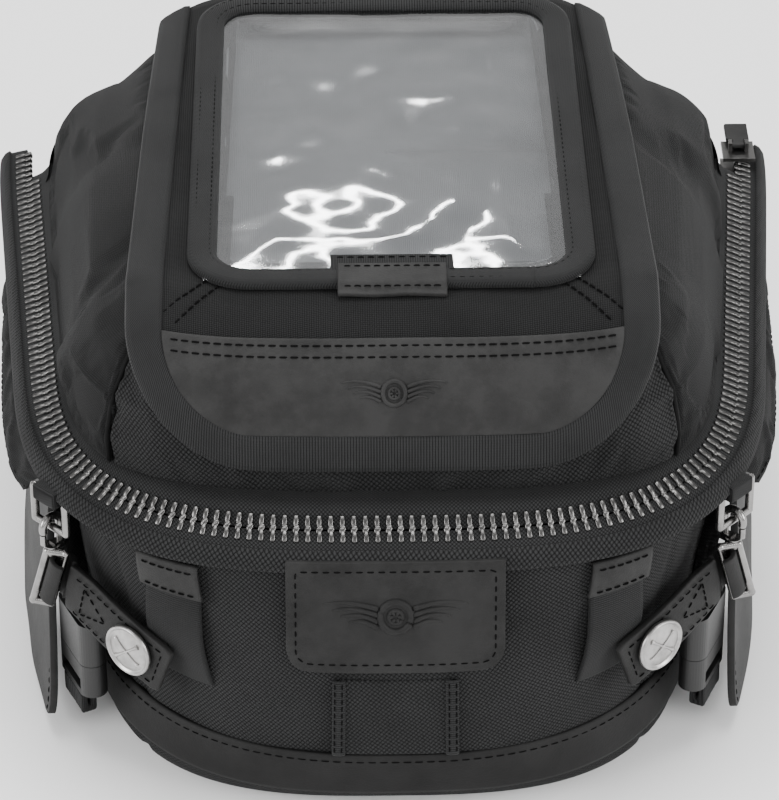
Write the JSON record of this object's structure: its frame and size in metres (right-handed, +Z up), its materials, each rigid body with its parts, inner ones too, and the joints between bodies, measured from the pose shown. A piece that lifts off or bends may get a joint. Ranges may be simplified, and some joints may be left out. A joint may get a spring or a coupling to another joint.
{
  "type": "motorcycle tank bag",
  "caption": "Soft motorcycle tank bag with a zipped lid, top pocket flap, clear phone window, side flaps and corner straps on swivel hooks.",
  "frame": {"origin": "on the face that rests on the tank, midway between the sides and 1.6 mm behind the middle of the footprint box", "axes": "+Z up, -Y towards the front of the bag (leather patch), +Y towards the hinge and the rider"},
  "size_m": [0.2626, 0.2691, 0.1629],
  "materials": {
    "ballistic_fabric": "coarse woven",
    "lining": "plain woven",
    "leather": "waxed, matt",
    "webbing": "ribbed webbing",
    "dark_nickel": "antique nickel",
    "nickel": "polished nickel",
    "magnet": "plated",
    "plastic": "moulded",
    "clear_vinyl": "clear, wavy"
  },
  "bodies": {
    "bag": {"base_pad": "webbing", "magnet_foam": "plastic", "magnets": "magnet", "base_board": "plastic", "tub_shell": "ballistic_fabric", "tub_lining": "lining", "lower_band": "leather", "front_patch": "leather", "center_panel": "webbing", "zip_tape_lower": "webbing", "zip_teeth_lower": "dark_nickel", "snap_studs": "dark_nickel", "handle_tabs": "webbing", "wing_left": "ballistic_fabric", "wing_right": "ballistic_fabric", "side_pad_left": "ballistic_fabric", "side_pad_right": "ballistic_fabric", "keeper_left": "webbing", "keeper_right": "webbing", "ring_tab_left": "webbing", "ring_tab_right": "webbing", "buckle_female_left": "plastic", "buckle_female_right": "plastic"},
    "handle": {"rear_handle": "leather"},
    "lid": {"lid_walls": "ballistic_fabric", "lid_floor": "lining", "zip_tape_upper": "webbing", "zip_teeth_upper": "dark_nickel", "lid_hook_strip": "webbing"},
    "flap": {"flap_panel": "ballistic_fabric", "phone_tray": "lining", "flap_binding": "webbing", "flap_leather": "leather", "flap_loop_strip": "webbing"},
    "window": {"window_vinyl": "clear_vinyl", "window_binding": "webbing", "window_tab": "leather"},
    "slider": {"zip_slider": "dark_nickel"},
    "pull": {"slider_pull": "leather"},
    "ring_left": {"d_ring_left": "nickel"},
    "hook_left": {"snap_hook_left": "nickel", "strap_ring_left": "nickel"},
    "gate_left": {"hook_gate_left": "nickel"},
    "strap_left": {"leather_strap_left": "leather", "snap_cap_left": "nickel"},
    "side_left": {"side_flap_left": "leather"},
    "buckle_left": {"buckle_male_left": "plastic", "web_tail_left": "webbing"},
    "ring_right": {"d_ring_right": "nickel"},
    "hook_right": {"snap_hook_right": "nickel", "strap_ring_right": "nickel"},
    "gate_right": {"hook_gate_right": "nickel"},
    "strap_right": {"leather_strap_right": "leather", "snap_cap_right": "nickel"},
    "side_right": {"side_flap_right": "leather"},
    "buckle_right": {"buckle_male_right": "plastic", "web_tail_right": "webbing"}
  },
  "joints": [
    {"name": "lid_hinge", "type": "hinge", "parent": "bag", "child": "lid", "pos_m": [0, 0.124, 0.101], "axis": [-1, 0, 0], "range_deg": [0, 105]},
    {"name": "flap_hinge", "type": "hinge", "parent": "lid", "child": "flap", "pos_m": [0, 0.1125, 0.1565], "axis": [-1, 0, 0], "range_deg": [0, 150]},
    {"name": "window_hinge", "type": "hinge", "parent": "flap", "child": "window", "pos_m": [0, 0.1065, 0.1614], "axis": [-1, 0, 0], "range_deg": [0, 120]},
    {"name": "handle_hinge", "type": "hinge", "parent": "bag", "child": "handle", "pos_m": [0, 0.129, 0.084], "axis": [1, 0, 0], "range_deg": [0, 80]},
    {"name": "zip_slide", "type": "slide", "parent": "bag", "child": "slider", "axis": [-0.0918, -0.9958, 0], "range_m": [0, 0.12]},
    {"name": "pull_hinge", "type": "hinge", "parent": "slider", "child": "pull", "pos_m": [0.12244, 0.09701, 0.1068], "axis": [1, 0, 0], "range_deg": [0, 150]},
    {"name": "ring_hinge_left", "type": "hinge", "parent": "bag", "child": "ring_left", "pos_m": [-0.106, -0.091, 0.094], "axis": [-0.7071, 0.7071, 0], "range_deg": [0, 30]},
    {"name": "hook_hinge_left", "type": "hinge", "parent": "ring_left", "child": "hook_left", "pos_m": [-0.106, -0.091, 0.082], "axis": [-0.7071, 0.7071, 0], "range_deg": [0, 20]},
    {"name": "gate_hinge_left", "type": "hinge", "parent": "hook_left", "child": "gate_left", "pos_m": [-0.1084, -0.0934, 0.0764], "axis": [-0.7071, 0.7071, 0], "range_deg": [0, 14], "stiffness_Nm_per_rad": 0.002},
    {"name": "strap_hinge_left", "type": "hinge", "parent": "hook_left", "child": "strap_left", "pos_m": [-0.1045, -0.092, 0.0625], "axis": [-0.24, 0.2, -0.95], "range_deg": [0, 70]},
    {"name": "side_flap_hinge_left", "type": "hinge", "parent": "bag", "child": "side_left", "pos_m": [-0.11, -0.044, 0.0775], "axis": [-0.083, 0.9965, 0], "range_deg": [0, 45]},
    {"name": "buckle_slide_left", "type": "slide", "parent": "bag", "child": "buckle_left", "axis": [0, 0, -1], "range_m": [0, 0.0135]},
    {"name": "ring_hinge_right", "type": "hinge", "parent": "bag", "child": "ring_right", "pos_m": [0.106, -0.091, 0.094], "axis": [-0.7071, -0.7071, 0], "range_deg": [0, 30]},
    {"name": "hook_hinge_right", "type": "hinge", "parent": "ring_right", "child": "hook_right", "pos_m": [0.106, -0.091, 0.082], "axis": [-0.7071, -0.7071, 0], "range_deg": [0, 20]},
    {"name": "gate_hinge_right", "type": "hinge", "parent": "hook_right", "child": "gate_right", "pos_m": [0.1084, -0.0934, 0.0764], "axis": [-0.7071, -0.7071, 0], "range_deg": [0, 14], "stiffness_Nm_per_rad": 0.002},
    {"name": "strap_hinge_right", "type": "hinge", "parent": "hook_right", "child": "strap_right", "pos_m": [0.1045, -0.092, 0.0625], "axis": [-0.24, -0.2, 0.95], "range_deg": [0, 70]},
    {"name": "side_flap_hinge_right", "type": "hinge", "parent": "bag", "child": "side_right", "pos_m": [0.11, -0.044, 0.0775], "axis": [-0.083, -0.9965, 0], "range_deg": [0, 45]},
    {"name": "buckle_slide_right", "type": "slide", "parent": "bag", "child": "buckle_right", "axis": [0, 0, -1], "range_m": [0, 0.0135]}
  ]
}
